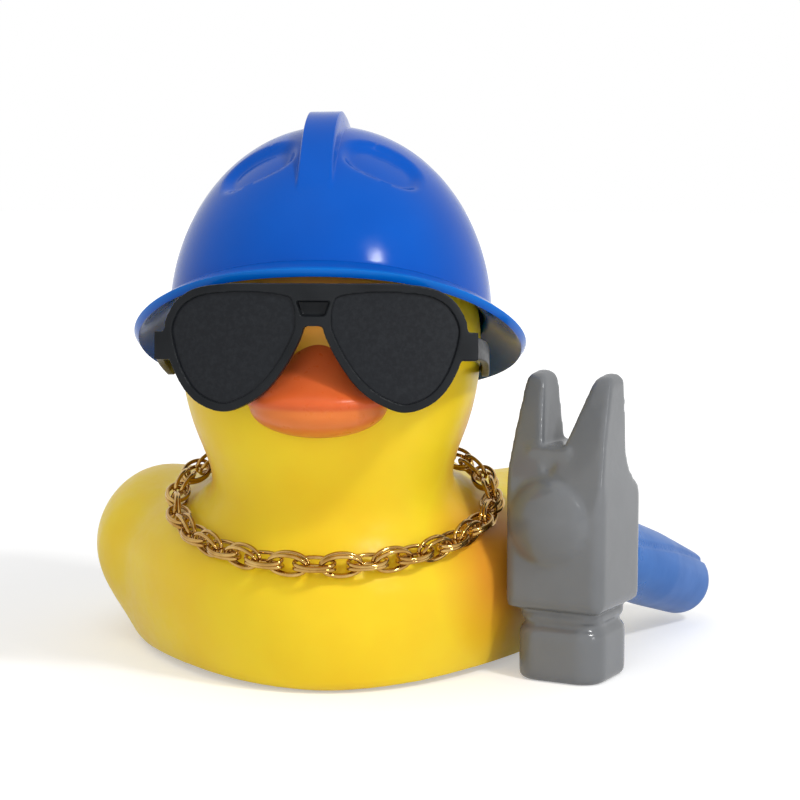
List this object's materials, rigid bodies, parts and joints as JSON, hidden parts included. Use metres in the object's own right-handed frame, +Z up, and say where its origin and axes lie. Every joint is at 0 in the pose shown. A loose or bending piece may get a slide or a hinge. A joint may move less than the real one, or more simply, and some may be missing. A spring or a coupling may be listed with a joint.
{
  "type": "rubber duck",
  "caption": "Hollow vinyl bath duck wearing a moulded hard hat, sunglasses and a neck chain of double rings, with a small claw hammer standing beside its wing.",
  "frame": {"origin": "centre of the duck's flat base, on the plane it stands on", "axes": "+Z up, -Y the way the duck looks, +X towards the side the hammer stands on"},
  "size_m": [0.1087, 0.1013, 0.0915],
  "materials": {
    "duck_vinyl": "satin soft vinyl with a painted orange beak",
    "hat_plastic": "glossy injection-moulded plastic",
    "frame_plastic": "satin black",
    "lens_plastic": "opaque dark, faintly grained",
    "chain_metal": "polished gold plate",
    "hammer_paint": "gloss grey paint",
    "handle_plastic": "smooth moulded plastic"
  },
  "bodies": {
    "root": {"duck_body": "duck_vinyl", "hard_hat": "hat_plastic", "glasses_frame": "frame_plastic", "lens_left": "lens_plastic", "lens_right": "lens_plastic", "chain_link_01": "chain_metal", "chain_link_02": "chain_metal", "chain_link_03": "chain_metal", "chain_link_04": "chain_metal", "chain_link_05": "chain_metal", "chain_link_06": "chain_metal", "chain_link_07": "chain_metal", "chain_link_08": "chain_metal", "chain_link_09": "chain_metal", "chain_link_10": "chain_metal", "chain_link_11": "chain_metal", "chain_link_12": "chain_metal", "chain_link_13": "chain_metal", "chain_link_14": "chain_metal", "chain_link_15": "chain_metal", "chain_link_16": "chain_metal", "chain_link_17": "chain_metal", "chain_link_18": "chain_metal", "chain_link_19": "chain_metal", "chain_link_20": "chain_metal", "chain_link_21": "chain_metal", "chain_link_22": "chain_metal", "chain_link_23": "chain_metal", "chain_link_24": "chain_metal", "chain_link_25": "chain_metal", "chain_link_26": "chain_metal", "chain_link_27": "chain_metal", "chain_link_28": "chain_metal", "chain_link_29": "chain_metal", "chain_link_30": "chain_metal", "chain_link_31": "chain_metal", "chain_link_32": "chain_metal", "chain_link_33": "chain_metal", "chain_link_34": "chain_metal", "chain_link_35": "chain_metal", "chain_link_36": "chain_metal", "chain_link_37": "chain_metal", "chain_link_38": "chain_metal", "hammer_head": "hammer_paint", "hammer_handle": "handle_plastic"}
  },
  "joints": []
}
